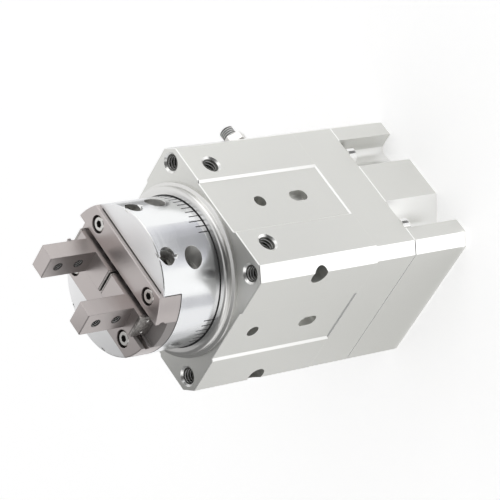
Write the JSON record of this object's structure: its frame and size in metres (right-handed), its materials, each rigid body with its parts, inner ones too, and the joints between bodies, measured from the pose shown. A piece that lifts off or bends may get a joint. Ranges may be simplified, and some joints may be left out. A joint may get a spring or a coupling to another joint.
{
  "type": "rotary gripper",
  "caption": "Air-driven rotary gripper: a square aluminium swivel body carries a round head that turns half a turn and slides its steel fingers apart on a ball guide.",
  "frame": {"origin": "centre of the rear cover's flat rear face", "axes": "+Z along the rotation axis towards the fingers, +X out of the face with the two air ports, the fingers slide along Y"},
  "size_m": [0.054, 0.0609, 0.1275],
  "materials": {
    "anodised_body": "fine bead-blasted clear anodised aluminium, satin",
    "turned_head": "turned aluminium, bright, fine rings round the axis",
    "turned_ring": "turned aluminium ring, satin polish",
    "guide_steel": "ground stainless steel, satin",
    "finger_steel": "ground stainless steel, satin",
    "plate_steel": "pressed steel, coarse tumbled surface",
    "screw_steel": "bright plated steel",
    "set_screw_steel": "dull plated steel",
    "bearing_steel": "ground and polished bearing steel",
    "shaft_steel": "ground hardened steel",
    "inner_aluminium": "machined hard anodised aluminium",
    "magnet_black": "moulded magnet, matt black",
    "seal_rubber": "moulded nitrile rubber"
  },
  "bodies": {
    "housing": {"front_body": "anodised_body", "rear_cover": "anodised_body", "cover_seal": "seal_rubber", "cover_bolts": "screw_steel", "vane_chamber": "inner_aluminium", "shoe_seal": "seal_rubber", "shaft_seal": "seal_rubber", "rear_shaft_seal": "seal_rubber", "front_bearing_outer_race": "bearing_steel", "front_bearing_balls": "bearing_steel", "rear_bearing_outer_race": "bearing_steel", "rear_bearing_balls": "bearing_steel", "bearing_retainer": "turned_ring", "lock_nuts": "screw_steel"},
    "head": {"gripper_body": "turned_head", "bearing_spacer": "bearing_steel", "front_bearing_inner_race": "bearing_steel", "rear_bearing_inner_race": "bearing_steel", "stop_lug": "shaft_steel", "vane_shaft": "shaft_steel", "vane": "inner_aluminium", "vane_seal": "seal_rubber", "finger_guide": "guide_steel", "guide_screws": "screw_steel", "guide_set_screws": "set_screw_steel", "lever_pins": "shaft_steel", "rod_cover": "inner_aluminium", "rod_seal": "seal_rubber"},
    "piston": {"piston": "inner_aluminium", "piston_seal": "seal_rubber", "piston_magnet": "magnet_black", "cross_pin": "shaft_steel"},
    "lever_a": {"lever_a": "shaft_steel"},
    "lever_b": {"lever_b": "shaft_steel"},
    "finger_a": {"finger_a": "finger_steel", "end_plate_a": "plate_steel", "inner_plate_a": "plate_steel"},
    "finger_b": {"finger_b": "finger_steel", "end_plate_b": "plate_steel", "inner_plate_b": "plate_steel"},
    "balls_a": {"guide_balls_a": "bearing_steel"},
    "balls_b": {"guide_balls_b": "bearing_steel"},
    "stop_screw_a": {"stop_screw_a": "screw_steel"},
    "stop_screw_b": {"stop_screw_b": "screw_steel"}
  },
  "joints": [
    {"name": "head_rotation", "type": "hinge", "parent": "housing", "child": "head", "pos_m": [0, 0, 0.0781], "axis": [0, 0, 1], "range_deg": [0, 180]},
    {"name": "piston_slide", "type": "slide", "parent": "head", "child": "piston", "axis": [0, 0, 1], "range_m": [0, 0.00293]},
    {"name": "lever_a_pivot", "type": "hinge", "parent": "head", "child": "lever_a", "pos_m": [0.0014, 0.01076, 0.0959], "axis": [-1, 0, 0], "range_deg": [0, 15.69]},
    {"name": "lever_b_pivot", "type": "hinge", "parent": "head", "child": "lever_b", "pos_m": [-0.0014, -0.01076, 0.0959], "axis": [1, 0, 0], "range_deg": [0, 15.69]},
    {"name": "finger_a_slide", "type": "slide", "parent": "head", "child": "finger_a", "axis": [0, 1, 0], "range_m": [0, 0.003]},
    {"name": "finger_b_slide", "type": "slide", "parent": "head", "child": "finger_b", "axis": [0, -1, 0], "range_m": [0, 0.003]},
    {"name": "balls_a_roll", "type": "slide", "parent": "head", "child": "balls_a", "axis": [0, 1, 0], "range_m": [0, 0.0015]},
    {"name": "balls_b_roll", "type": "slide", "parent": "head", "child": "balls_b", "axis": [0, -1, 0], "range_m": [0, 0.0015]},
    {"name": "stop_screw_a_travel", "type": "slide", "parent": "housing", "child": "stop_screw_a", "axis": [0, 1, 0], "range_m": [0, 0.0015]},
    {"name": "stop_screw_b_travel", "type": "slide", "parent": "housing", "child": "stop_screw_b", "axis": [0, 1, 0], "range_m": [0, 0.0015]}
  ],
  "couplings": [
    {"joint": "lever_a_pivot", "follows": "piston_slide", "rad_per_m": 93.219},
    {"joint": "lever_b_pivot", "follows": "piston_slide", "rad_per_m": 93.219},
    {"joint": "finger_a_slide", "follows": "piston_slide", "ratio": 1.0222},
    {"joint": "finger_b_slide", "follows": "piston_slide", "ratio": 1.0222},
    {"joint": "balls_a_roll", "follows": "piston_slide", "ratio": 0.51111},
    {"joint": "balls_b_roll", "follows": "piston_slide", "ratio": 0.51111}
  ]
}
